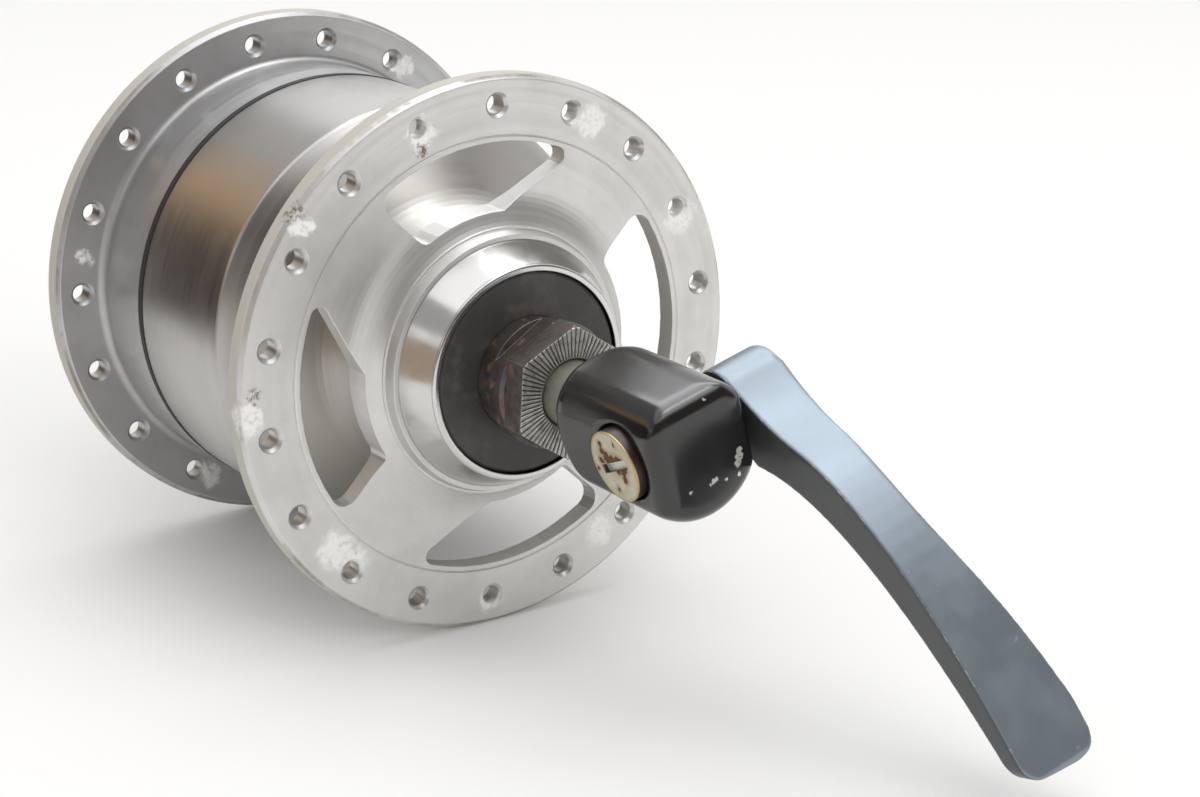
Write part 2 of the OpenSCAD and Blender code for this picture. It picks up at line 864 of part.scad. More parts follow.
// Spider flange with a rim of spoke holes, four windows and a collar on the neck
module left_flange() {
    y0 = y_flange_near;
    back = y0 + web_t;
    rim_back = y0 + flange_t;
    color("#c9c7c2")
        difference() {
            turned(concat(
                [
                    [collar_bore_r, collar_front],
                    [collar_bore_r + collar_ring, collar_front],
                    [boss_step_r - step_ring, boss_step_y - step_drop],
                    [boss_step_r, boss_step_y - step_drop]
                ],
                arc([web_flat_r, y0 - web_arc_r], web_arc_r,
                    90 + web_arc_angle, 90),
                [
                    [groove_r - 0.15, y0],
                    [groove_r, y0 + 0.15],
                    [groove_r + 0.15, y0],
                    [flange_r - rim_bevel, y0],
                    [flange_r, y0 + rim_bevel],
                    [flange_r, rim_back - rim_bevel],
                    [flange_r - rim_bevel, rim_back],
                    [groove_r + 0.5, rim_back],
                    [groove_r, back]
                ],
                arc([web_flat_r, back + web_arc_r], web_arc_r,
                    -90, -90 - web_arc_angle),
                [
                    [boss_step_r, collar_back],
                    [collar_bore_r, collar_back]
                ]
            ));
            spoke_holes(y0, spoke_phase);
            for (i = [0:window_count - 1])
                rotate([0, -window_phase - i * 360 / window_count, 0])
                    translate([0, collar_back, 0])
                        rotate([90, 0, 0])
                            linear_extrude(height = collar_back - collar_front + 2)
                                polygon(window_outline());
        }
}

// Far end of the drum with its flange, bearing seat and skirt over the spigot
module flange_cap() {
    y1 = y_flange_far;
    root = 1.2;
    lip_y = y_ball_far + lip_out;
    skirt_r = spigot_r + press_gap;
    y_in = y_cap_face - cap_wall;
    cup_y = y_ball_far + cup_in;
    color("#bdbbb6")
        difference() {
            turned(concat(
                [
                    [seal_r, lip_y],
                    [seal_r, y_ball_far + cup_out],
                    [cup_r + press_gap, y_ball_far + cup_out],
                    [cup_r + press_gap, cup_y],
                    [cup_ledge_r, cup_y],
                    [cup_ledge_r, cup_y - cup_ledge],
                    [lip_r, cup_y - cup_ledge],
                    [lip_r + 1.5, y_in],
                    [drum_bore_r - 2, y_in],
                    [drum_bore_r - 0.5, y_in - 1.5],
                    [drum_bore_r - 0.5, y_spigot + 0.2],
                    [skirt_r, y_spigot + 0.2],
                    [skirt_r, y_seam + seam_w],
                    [drum_r, y_seam + seam_w]
                ],
                arc([drum_r + root, y_far_inner - root], root, 180, 90),
                [
                    [flange_r - rim_bevel, y_far_inner],
                    [flange_r, y_far_inner + rim_bevel],
                    [flange_r, y1 - rim_bevel],
                    [flange_r - rim_bevel, y1],
                    [drum_r - 0.4, y1],
                    [drum_r - 2, y_cap_face],
                    [lip_r + 3, y_cap_face],
                    [lip_r + 0.9, y_cap_face + 1.2],
                    [lip_r, lip_y]
                ]
            ));
            spoke_holes(y_far_inner, spoke_phase + 180 / spoke_count);
        }
}

// Black ring in the seam between shell and cap
module seam_seal() {
    color("#1d1c1b")
        ring(spigot_r + press_gap, drum_r + 0.1, y_seam, y_seam + seam_w);
}

// Steel ring in the drum that closes the flux behind the magnets
module back_iron_ring() {
    color("dimgray")
        ring(iron_r - iron_t, iron_r, y_iron, y_iron + iron_len);
}

// Magnet segments, one for each claw of both yokes
module magnets() {
    count = 2 * claw_count;
    split = 1;
    color("#45454b")
        for (i = [0:count - 1])
            rotate([0, i * 360 / count, 0])
                translate([0, y_iron + 0.5, 0])
                    rotate([-90, 0, 0])
                        rotate_extrude(angle = 360 / count - split)
                            translate([magnet_r - magnet_t, 0])
                                square([magnet_t, iron_len - 1]);
}

// Bearing cup of the near side
module left_bearing_cup() {
    color("steelblue")
        near_side()
            cup_body();
}

// Bearing cup of the far side
module right_bearing_cup() {
    color("steelblue")
        far_side()
            cup_body();
}

// Lip seal of the near side
module left_lip_seal() {
    near_side()
        lip_seal_body();
}

// Lip seal of the far side
module right_lip_seal() {
    far_side()
        lip_seal_body();
}

// Balls of the near side
module left_balls() {
    near_side()
        balls_body();
}

// Ball retainer of the near side
module left_retainer() {
    near_side()
        retainer_body();
}

// Balls of the far side
module right_balls() {
    far_side()
        balls_body();
}

// Ball retainer of the far side
module right_retainer() {
    far_side()
        retainer_body();
}

// Barrel with two flats, a bored chamber for the eye and a cross bore for the cam shaft
module cam_housing() {
    base_r = housing_base_d / 2;
    r = housing_d / 2;
    y0 = y_base - y_pivot;
    y1 = y_housing_end - y_pivot;
    color("#1b1a1d")
        at_pivot()
            difference() {
                intersection() {
                    turned(concat(
                        [
                            [0, y0],
                            [base_r, y0]
                        ],
                        arc([r - housing_shoulder, y0 - housing_shoulder], housing_shoulder,
                            acos((base_r - r + housing_shoulder) / housing_shoulder), 0),
                        arc([r - housing_round, y1 + housing_round], housing_round, 0, -90),
                        [[0, y1]]
                    ));
                    translate([0, y0 + 1, 0])
                        rotate([90, 0, 0])
                            linear_extrude(height = y0 - y1 + 2)
                                rounded_plate(-flat_cap, flat_lever, -2 * r, housing_top, corner_round);
                    translate([0, 0, -r - 1])
                        linear_extrude(height = 2 * r + 2)
                            rounded_plate(-flat_cap, flat_lever, y1, y0 + 2 * end_round, end_round);
                    translate([-r - 1, 0, 0])
                        rotate([90, 0, 90])
                            linear_extrude(height = 2 * r + 2)
                                rotate([0, 0, 90])
                                    rounded_plate(-2 * r, housing_top, -y0 - 2 * end_round, -y1, end_round);
                }
                bar(chamber_r, chamber_end - y_pivot, y0 - washer_t);
                bar(washer_r, y0 - washer_t, y0 + 1);
                cross_bar(cap_r + cap_gap, -BIG, 0);
                cross_bar(journal_r + run_gap, 0, BIG);
            }
}

// Steel ring in the inboard face of the housing
module clamp_washer() {
    color("#5b5755")
        ring(rod_r + free_gap, washer_r - press_gap, y_base - washer_t, y_base);
}

// Lever with a round root boss and a curved handle that widens to its tip
module lever_arm() {
    face = 1;
    tip_turn = 18;
    skew = 1.4;
    tip = [lever_reach, lever_drop] + polar(skew, 90 - tip_turn);
    tip_r = lever_tip_t / 2;
    tip_mid = tip - polar(tip_r, -tip_turn);
    tip_low = tip_mid - polar(tip_r, -tip_turn);
    top = curve([[lever_boss_r + 2, face], [0.45 * lever_reach, face - 1.5],
        [0.785 * lever_reach, 0.48 * lever_drop], tip]);
    meet = 4;
    heading = (top[meet + 1] - top[meet]) / norm(top[meet + 1] - top[meet]);
    leave = polar(lever_boss_r, -53);
    blend = curve([leave, leave + polar(4.2, 37), top[meet] - 4.4 * heading, top[meet]], 18);
    low = curve([[lever_boss_r, face + lever_root_t], [0.41 * lever_reach, face + lever_root_t],
        [0.69 * lever_reach, 0.59 * lever_drop], tip_low]);
    upper = concat(blend, [for (i = [meet + 1:len(top) - 1]) top[i]]);
    tip_arc = arc(tip_mid, tip_r, -tip_turn, 180 - tip_turn);
    outline = concat(upper, tip_arc, reversed(low), [[2, lever_boss_r - 0.6]]);
    tip_end = tip_mid[0] + tip_r;
    edge = curve([[lever_root_w, 3], [lever_neck_w - 1.6, 0.635 * lever_reach],
        [lever_neck_w, 0.555 * lever_reach], [lever_tip_w, tip_end - lever_tip_round]]);
    plan = concat(
        [[0, -lever_reach], [lever_root_w, -lever_reach]],
        edge,
        [[lever_tip_w, 2 * lever_reach], [0, 2 * lever_reach]]
    );
    blade_turn = 90 - tip_turn;
    blade_end = tip_mid * polar(1, blade_turn) + tip_r;
    blade = rounded(
        [[0, lever_reach], [0, skew - blade_end], [lever_tip_w, -blade_end], [lever_tip_w, lever_reach]],
        [0, lever_tip_round, lever_tip_round, 0], 10
    );
    color("#46525c")
        at_pivot()
            difference() {
                union() {
                    translate([lever_in, 0, 0])
                        rotate([0, 90, 0])
                            rotate_extrude()
                                polygon(concat(
                                    [[0, 0], [lever_boss_r, 0]],
                                    arc([lever_boss_r - lever_edge, lever_root_w - lever_edge],
                                        lever_edge, 0, 90, 6),
                                    [[0, lever_root_w]]
                                ));
                    intersection() {
                        translate([lever_in, 0, 0])
                            rotate([90, 0, 90])
                                rotate([0, 0, 180])
                                    linear_extrude(height = lever_tip_w + 5)
                                        polygon(outline);
                        translate([lever_in, 0, -2 * lever_drop])
                            rotate([0, 0, 180])
                                mirror([1, 0, 0])
                                    linear_extrude(height = 3 * lever_drop)
                                        polygon(plan);
                        translate([lever_in, 0, 0])
                            rotate([blade_turn, 0, 0])
                                translate([0, 0, -2 * lever_reach])
                                    linear_extrude(height = 4 * lever_reach)
                                        polygon(blade);
                    }
                }
                cross_bar(spigot_shaft_r + press_gap, lever_in - 1, lever_in + spigot_len);
            }
}

// Cam shaft: stub in the slotted cap, eccentric in the eye, journal in the housing, spigot in the lever
module cam_shaft() {
    half = eye_t / 2 + free_gap;
    color("silver")
        at_pivot() {
            cross_bar(stub_r, -stub_end, -half + EPS);
            translate([0, cam_throw * cos(cam_open_angle), cam_throw * sin(cam_open_angle)])
                cross_bar(cam_r, -half, half + EPS);
            cross_bar(journal_r, half, lever_in);
            cross_bar(spigot_shaft_r, lever_in - EPS, lever_in + spigot_len - free_gap);
        }
}

// Slotted disc that holds the shaft in the housing and turns with it
module cam_cap() {
    slot_w = 1.2;
    slot_len = 1.32 * cap_r;
    slot_depth = 0.8;
    slot_turn = -23.5;
    color("#b8b39a")
        at_pivot()
            difference() {
                cross_bar(cap_r, -cap_face, -cap_face + cap_t);
                cross_bar(stub_r + press_gap, -stub_end - press_gap, 0);
                rotate([slot_turn, 0, 0])
                    translate([-cap_face - EPS, -slot_len / 2, -slot_w / 2])
                        cube([slot_depth, slot_len, slot_w]);
            }
}

// Rod with an eye slotted across, so that it only moves along the axle
module skewer_rod() {
    y_eye = cam_throw * cos(cam_open_angle);
    color("#8d8a80")
        at_pivot()
            difference() {
                union() {
                    intersection() {
                        translate([0, y_eye, 0])
                            cross_bar(eye_r, -eye_t / 2, eye_t / 2);
                        bar(eye_r - 0.4, -2 * eye_r, 2 * eye_r);
                    }
                    bar(rod_r, y_eye + eye_r - 1, y_nut + nut_len - 1.5 - y_pivot);
                }
                for (s = [-1, 1])
                    translate([0, y_eye, s * cam_throw])
                        cross_bar(eye_hole_r, -eye_t, eye_t);
                translate([-eye_t, y_eye - eye_hole_r, -cam_throw])
                    cube([2 * eye_t, 2 * eye_hole_r, 2 * cam_throw]);
            }
}

// Round nut with finger scallops and a seat for its nylon ring
module adjusting_nut() {
    r = nut_d / 2;
    waist_r = 0.74 * r;
    scallops = 6;
    color("#232226")
        difference() {
            turned([
                [rod_r + run_gap, y_nut],
                [r - 0.5, y_nut],
                [r, y_nut + 0.5],
                [r, y_nut + 2.5],
                [waist_r, y_nut + 0.55 * nut_len],
                [waist_r, y_nut + nut_len - 1],
                [waist_r - 1, y_nut + nut_len],
                [rod_r + 1.8, y_nut + nut_len],
                [rod_r + 1.8, y_nut + nut_len - 3],
                [rod_r + run_gap, y_nut + nut_len - 3]
            ]);
            for (i = [0:scallops - 1])
                rotate([0, i * 360 / scallops, 0])
                    translate([waist_r + 2.2, y_nut + 0.4 * nut_len, 0])
                        rotate([-90, 0, 0])
                            cylinder(r = 2.8, h = nut_len);
        }
}

// Nylon ring that stops the nut from working loose
module nut_insert() {
    color("whitesmoke")
        ring(rod_r + run_gap, rod_r + 1.8 - press_gap, y_nut + nut_len - 3, y_nut + nut_len - 0.4);
}

axle();
left_cone();
right_cone();
left_locknut();
right_locknut();
left_dust_cap();
right_dust_cap();
stator_core();
left_yoke();
right_yoke();
coil_bobbin();
coil_winding();
stator_nut();
terminal_block();
terminal_blades();
lead_wire();
hub_shell();
left_flange();
flange_cap();
seam_seal();
back_iron_ring();
magnets();
left_bearing_cup();
right_bearing_cup();
left_lip_seal();
right_lip_seal();
left_balls();
left_retainer();
right_balls();
right_retainer();
cam_housing();
clamp_washer();
lever_arm();
cam_shaft();
cam_cap();
skewer_rod();
adjusting_nut();
nut_insert();
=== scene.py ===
import math

import bpy
from mathutils import Matrix, Vector


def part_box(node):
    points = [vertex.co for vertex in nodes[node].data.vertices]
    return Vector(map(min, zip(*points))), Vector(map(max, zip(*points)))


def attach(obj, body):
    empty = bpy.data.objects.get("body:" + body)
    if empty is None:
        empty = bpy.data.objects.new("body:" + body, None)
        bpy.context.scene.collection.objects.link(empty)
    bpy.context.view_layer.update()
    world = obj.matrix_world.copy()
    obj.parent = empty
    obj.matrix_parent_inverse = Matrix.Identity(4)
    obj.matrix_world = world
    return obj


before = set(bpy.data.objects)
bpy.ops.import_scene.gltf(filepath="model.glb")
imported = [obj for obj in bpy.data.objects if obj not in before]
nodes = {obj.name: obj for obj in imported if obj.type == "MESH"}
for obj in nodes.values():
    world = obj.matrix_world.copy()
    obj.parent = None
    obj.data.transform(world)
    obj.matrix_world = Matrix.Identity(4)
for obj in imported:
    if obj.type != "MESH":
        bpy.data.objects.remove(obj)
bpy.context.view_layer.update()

# The axle: a hollow steel tube that never turns, turned on a lathe and plated with yellowish zinc.
# Its two plain ends rest in the fork, and everything else of the hub is threaded or pressed onto it.
edge_round = 0.0002
zinc_grey = (0.37, 0.37, 0.31)
zinc_dull = (0.26, 0.24, 0.18)


def new_finish(name, color, metallic, roughness):
    """A material with its shader set to one plain colour, ready for the details that vary."""
    finish = bpy.data.materials.new(name)
    finish.use_nodes = True
    shader = finish.node_tree.nodes["Principled BSDF"]
    shader.inputs["Base Color"].default_value = (*color, 1)
    shader.inputs["Metallic"].default_value = metallic
    shader.inputs["Roughness"].default_value = roughness
    return finish, finish.node_tree, shader


def put(tree, kind, inputs=None, **settings):
    """One shader node, with its settings, and with each input linked or set to a value."""
    node = tree.nodes.new(kind)
    for key, value in settings.items():
        setattr(node, key, value)
    for key, value in (inputs or {}).items():
        if isinstance(value, bpy.types.NodeSocket):
            tree.links.new(value, node.inputs[key])
        else:
            node.inputs[key].default_value = value
    return node


def calc(tree, operation, *values):
    """The result of one sum on values or sockets."""
    return put(tree, "ShaderNodeMath", dict(enumerate(values)), operation=operation).outputs[0]


def place_calc(tree, operation, *values):
    """The result of one sum on places or directions."""
    node = put(tree, "ShaderNodeVectorMath", dict(enumerate(values)), operation=operation)
    return node.outputs["Value" if operation in ("LENGTH", "DISTANCE", "DOT_PRODUCT") else "Vector"]


def on_piece(tree):
    """Places on the piece itself, in metres."""
    return put(tree, "ShaderNodeTexCoord").outputs["Object"]


def axle_station(tree):
    """How far along the axle a place on the piece is."""
    return put(tree, "ShaderNodeSeparateXYZ", {0: on_piece(tree)}).outputs["Y"]


def axle_radius(tree):
    """How far out from the middle of the axle a place on the piece is."""
    return place_calc(tree, "LENGTH", place_calc(tree, "MULTIPLY", on_piece(tree), (1, 0, 1)))


def ramp(tree, value, low, high, to_low=0.0, to_high=1.0):
    """A value carried smoothly from one range to another, and held at its ends."""
    inputs = {"Value": value, "From Min": low, "From Max": high, "To Min": to_low, "To Max": to_high}
    return put(tree, "ShaderNodeMapRange", inputs, interpolation_type="SMOOTHSTEP").outputs[0]


def tint(tree, mask, under, over):
    """The colour under a mask where it is black, and the colour over it where it is white."""
    colors = [value if isinstance(value, bpy.types.NodeSocket) else (*value, 1) for value in (under, over)]
    return put(tree, "ShaderNodeMix", {0: mask, 6: colors[0], 7: colors[1]}, data_type="RGBA").outputs[2]


def mottled(tree, value, low, high, under, over):
    """One colour that turns to another where a value goes from low to high."""
    return tint(tree, ramp(tree, value, low, high), under, over)


def grain(tree, scale, detail=4.0, vector=None):
    """Cloudy noise fixed to the piece."""
    inputs = {"Vector": vector or on_piece(tree), "Scale": scale, "Detail": detail, "Roughness": 0.62}
    return put(tree, "ShaderNodeTexNoise", inputs).outputs[0]


def new_effect(name, inputs, outputs):
    """A shader group with named inputs and outputs, for what several finishes share."""
    effect = bpy.data.node_groups.new(name, "ShaderNodeTree")
    for label, value in inputs.items():
        socket = effect.interface.new_socket(label, in_out="INPUT", socket_type="NodeSocketFloat")
        socket.default_value = value
    for label in outputs:
        effect.interface.new_socket(label, in_out="OUTPUT", socket_type="NodeSocketFloat")
    return effect, effect.nodes.new("NodeGroupInput").outputs, effect.nodes.new("NodeGroupOutput").inputs


def use(tree, effect, inputs, output):
    """One output of a shared effect, with this material's own values."""
    return put(tree, "ShaderNodeGroup", inputs, node_tree=effect).outputs[output]


def vary(tree, shader, color=None, metallic=None, roughness=None):
    """Links what changes over the surface to the shader."""
    for key, value in (("Base Color", color), ("Metallic", metallic), ("Roughness", roughness)):
        if value is not None:
            tree.links.new(value, shader.inputs[key])


def relief(tree, shader, height, depth, soft=0.0):
    """A bump of a depth in metres, over edges softened by a radius."""
    inputs = {"Height": height, "Strength": 1.0, "Distance": depth}
    if soft:
        inputs["Normal"] = put(tree, "ShaderNodeBevel", {"Radius": soft}, samples=6).outputs[0]
    tree.links.new(put(tree, "ShaderNodeBump", inputs).outputs[0], shader.inputs["Normal"])


def dress(finish, *names):
    """Gives a finish to the solids of these names."""
    for name in names:
        for place in nodes[name].material_slots:
            place.material = finish


lathe_marks, given, out = new_effect("lathe_marks", {"Lines": 9000.0}, ["Height", "Sheen"])
drift = 40.0
sideways = put(lathe_marks, "ShaderNodeSeparateXYZ", {0: on_piece(lathe_marks)}).outputs["X"]
ring_place = put(lathe_marks, "ShaderNodeCombineXYZ", {
    0: calc(lathe_marks, "MULTIPLY", axle_radius(lathe_marks), given["Lines"]),
    1: calc(lathe_marks, "MULTIPLY", axle_station(lathe_marks), given["Lines"]),
    2: calc(lathe_marks, "MULTIPLY", sideways, drift),
}).outputs[0]
lathe_marks.links.new(grain(lathe_marks, 1.0, 3.0, ring_place), out["Height"])
lathe_marks.links.new(ramp(lathe_marks, grain(lathe_marks, 0.22, 2.0, ring_place), 0.3, 0.7), out["Sheen"])

zinc, tree, shader = new_finish("zinc_plate", zinc_grey, metallic=0.55, roughness=0.42)
cloud = grain(tree, 420.0)
vary(
    tree, shader,
    color=mottled(tree, cloud, 0.35, 0.7, zinc_grey, zinc_dull),
    roughness=ramp(tree, cloud, 0.3, 0.7, 0.38, 0.55),
)
relief(tree, shader, use(tree, lathe_marks, {"Lines": 14000.0}, "Height"), depth=0.000012, soft=edge_round)
dress(zinc, "axle")

# The generator inside the drum: pressed iron core and claw yokes, a moulded bobbin with its copper winding,
# a clamping nut and the coil's lead. All of it stays still on the axle while the shell turns round it.
iron_grey = (0.30, 0.30, 0.31)
iron_brown = (0.20, 0.18, 0.16)
iron, tree, shader = new_finish("pressed_iron", iron_grey, metallic=1.0, roughness=0.5)
cloud = grain(tree, 300.0)
vary(
    tree, shader,
    color=mottled(tree, cloud, 0.4, 0.7, iron_grey, iron_brown),
    roughness=ramp(tree, cloud, 0.3, 0.7, 0.42, 0.62),
)
relief(tree, shader, grain(tree, 5200.0), depth=0.00002, soft=edge_round)
dress(iron, "stator_core", "left_yoke", "right_yoke")

ivory = (0.82, 0.78, 0.66)
ivory_aged = (0.72, 0.66, 0.52)
bobbin, tree, shader = new_finish("moulded_bobbin", ivory, metallic=0.0, roughness=0.5)
cloud = grain(tree, 700.0)
vary(tree, shader, color=mottled(tree, cloud, 0.4, 0.8, ivory, ivory_aged))
relief(tree, shader, cloud, depth=0.00002, soft=edge_round)
dress(bobbin, "coil_bobbin")

wire_gap = (0.30, 0.11, 0.04)
wire_top = (0.74, 0.38, 0.17)
copper, tree, shader = new_finish("enamelled_copper", (0.72, 0.36, 0.16), metallic=1.0, roughness=0.25)
wires = put(tree, "ShaderNodeTexWave", {
    "Vector": on_piece(tree), "Scale": 500.0, "Distortion": 0.4, "Detail Scale": 2.0,
}, bands_direction="Y").outputs["Fac"]
vary(
    tree, shader,
    color=mottled(tree, wires, 0.0, 0.5, wire_gap, wire_top),
    roughness=ramp(tree, grain(tree, 900.0), 0.3, 0.7, 0.18, 0.34),
)
relief(tree, shader, wires, depth=0.0002)
dress(copper, "coil_winding")

steel_grey = (0.55, 0.54, 0.52)
steel_oiled = (0.36, 0.33, 0.29)
machined, tree, shader = new_finish("machined_steel", steel_grey, metallic=1.0, roughness=0.3)
vary(
    tree, shader,
    color=mottled(tree, grain(tree, 350.0), 0.45, 0.75, steel_grey, steel_oiled),
    roughness=ramp(tree, use(tree, lathe_marks, {"Lines": 6000.0}, "Sheen"), 0.0, 1.0, 0.24, 0.38),
)
relief(tree, shader, use(tree, lathe_marks, {"Lines": 12000.0}, "Height"), depth=0.000012, soft=edge_round)
dress(machined, "stator_nut")

jacket, tree, shader = new_finish("lead_jacket", (0.10, 0.10, 0.11), metallic=0.0, roughness=0.5)
cloud = grain(tree, 1500.0)
vary(tree, shader, color=tint(tree, cloud, (0.07, 0.07, 0.08), (0.15, 0.15, 0.16)))
relief(tree, shader, cloud, depth=0.00003)
dress(jacket, "lead_wire")

# The bearings: hardened cups pressed into the shell, polished balls in stamped brass retainers,
# and rubber lip seals. They sit behind the dust caps at both ends.
race_bright = (0.70, 0.70, 0.72)
race_greased = (0.55, 0.52, 0.47)
hardened, tree, shader = new_finish("hardened_steel", race_bright, metallic=1.0, roughness=0.1)
vary(
    tree, shader,
    color=mottled(tree, grain(tree, 260.0), 0.5, 0.8, race_bright, race_greased),
    roughness=ramp(tree, grain(tree, 800.0), 0.35, 0.7, 0.06, 0.2),
)
relief(tree, shader, use(tree, lathe_marks, {"Lines": 20000.0}, "Height"), depth=0.000004)
dress(hardened, "left_bearing_cup", "right_bearing_cup", "left_balls", "right_balls")

brass_light = (0.72, 0.58, 0.27)
brass_dull = (0.46, 0.35, 0.17)
brass, tree, shader = new_finish("stamped_brass", (0.66, 0.55, 0.28), metallic=1.0, roughness=0.32)
vary(
    tree, shader,
    color=mottled(tree, grain(tree, 500.0), 0.4, 0.75, brass_light, brass_dull),
    roughness=ramp(tree, grain(tree, 1400.0), 0.3, 0.7, 0.24, 0.44),
)
relief(tree, shader, grain(tree, 4000.0), depth=0.00001, soft=edge_round)
dress(brass, "left_retainer", "right_retainer")

rubber_black = (0.018, 0.017, 0.017)
rubber_dusty = (0.06, 0.055, 0.05)
rubber, tree, shader = new_finish("seal_rubber", (0.02, 0.02, 0.02), metallic=0.0, roughness=0.6)
cloud = grain(tree, 1800.0)
vary(
    tree, shader,
    color=mottled(tree, cloud, 0.5, 0.8, rubber_black, rubber_dusty),
    roughness=ramp(tree, cloud, 0.3, 0.7, 0.5, 0.75),
)
relief(tree, shader, cloud, depth=0.00003, soft=edge_round)
dress(rubber, "left_lip_seal", "right_lip_seal")

# The shell: one aluminium turning with a brightly polished boss, a neck, a conical wall and a drum.
# Fine rings from the lathe stay on drum and wall, and the boss is buffed until they are almost gone. The
# conical wall is painted a darker grey than the drum, as painted shade.
boss_front, boss_back = -0.0345, -0.0335
wall_r, drum_r = 0.0290, 0.0315
boss_bright = (0.64, 0.635, 0.62)
wall_painted_shade = (0.38, 0.365, 0.34)
drum_grey = (0.47, 0.457, 0.443)


def inverse(tree, mask):
    """A mask turned round: white where it was black."""
    return calc(tree, "SUBTRACT", 1.0, mask)


alloy, tree, shader = new_finish("turned_alloy", (0.72, 0.71, 0.69), metallic=1.0, roughness=0.3)
drum_part = ramp(tree, axle_station(tree), boss_front, boss_back)
# Painted shade: inside the drum's radius the conical wall gets a darker grey.
turned = mottled(tree, axle_radius(tree), wall_r, drum_r, wall_painted_shade, drum_grey)
satin = ramp(tree, use(tree, lathe_marks, {"Lines": 5200.0}, "Sheen"), 0.0, 1.0, 0.30, 0.34)
satin = calc(tree, "ADD", satin, ramp(tree, grain(tree, 160.0), 0.4, 0.7, 0.0, 0.04))
polished = ramp(tree, grain(tree, 500.0), 0.3, 0.8, 0.15, 0.22)
satin_share = calc(tree, "MULTIPLY", satin, drum_part)
polished_share = calc(tree, "MULTIPLY", polished, inverse(tree, drum_part))
vary(
    tree, shader,
    color=tint(tree, drum_part, boss_bright, turned),
    roughness=calc(tree, "ADD", satin_share, polished_share),
)
marks = use(tree, lathe_marks, {"Lines": 7000.0}, "Height")
marks = calc(tree, "MULTIPLY", marks, ramp(tree, drum_part, 0.0, 1.0, 0.4, 1.0))
relief(tree, shader, marks, depth=0.000002, soft=0.00025)
dress(alloy, "hub_shell")

# The near flange: a satin aluminium spider pressed on the neck, with a turned face and countersunk holes.
# Road salt has left whitish oxide by some holes and a little brown dirt at the rim.
rim_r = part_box("left_flange")[1][0]
step_back = 0.0035
face_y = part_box("left_flange")[0][1] + step_back
rim_zone = (rim_r - 0.0002, rim_r - 0.00005)
bevel_zone = (rim_r - 0.0007, rim_r - 0.0003)
bare_alloy = (0.80, 0.79, 0.77)
rim_grey = (0.48, 0.46, 0.415)
white_oxide = (0.81, 0.805, 0.785)
brown_dirt = (0.16, 0.115, 0.075)

worn_edges, given, out = new_effect("worn_edges", {"Width": 0.0004, "Grain": 900.0, "Amount": 0.5}, ["Mask"])
fade = 0.12
rounded = put(worn_edges, "ShaderNodeBevel", {"Radius": given["Width"]}, samples=8).outputs[0]
as_made = put(worn_edges, "ShaderNodeNewGeometry").outputs["Normal"]
bent = inverse(worn_edges, place_calc(worn_edges, "DOT_PRODUCT", rounded, as_made))
patchy = calc(worn_edges, "ADD", grain(worn_edges, given["Grain"]), 0.45)
worn = calc(worn_edges, "MULTIPLY", ramp(worn_edges, bent, 0.0, 0.12), patchy)
threshold = inverse(worn_edges, given["Amount"])
first_wear = calc(worn_edges, "SUBTRACT", threshold, fade)
full_wear = calc(worn_edges, "ADD", threshold, fade)
worn_edges.links.new(ramp(worn_edges, worn, first_wear, full_wear), out["Mask"])


def blotches(tree, places, ragged, scale):
    """A mask of ragged spots, each with its place and its radius in metres."""
    where = on_piece(tree)
    inputs = {"Vector": where, "Scale": scale, "Detail": 5.0, "Roughness": 0.7}
    shake = put(tree, "ShaderNodeTexNoise", inputs).outputs["Color"]
    shift = place_calc(tree, "SUBTRACT", shake, (0.5, 0.5, 0.5))
    shift = place_calc(tree, "MULTIPLY", shift, (ragged, ragged, ragged))
    moved = place_calc(tree, "ADD", where, shift)
    mask = None
    for x, y, z, reach in places:
        gap = place_calc(tree, "DISTANCE", moved, (x, y, z))
        spot = ramp(tree, gap, 0.5 * reach, reach, 1.0, 0.0)
        mask = spot if mask is None else calc(tree, "MAXIMUM", mask, spot)
    return mask


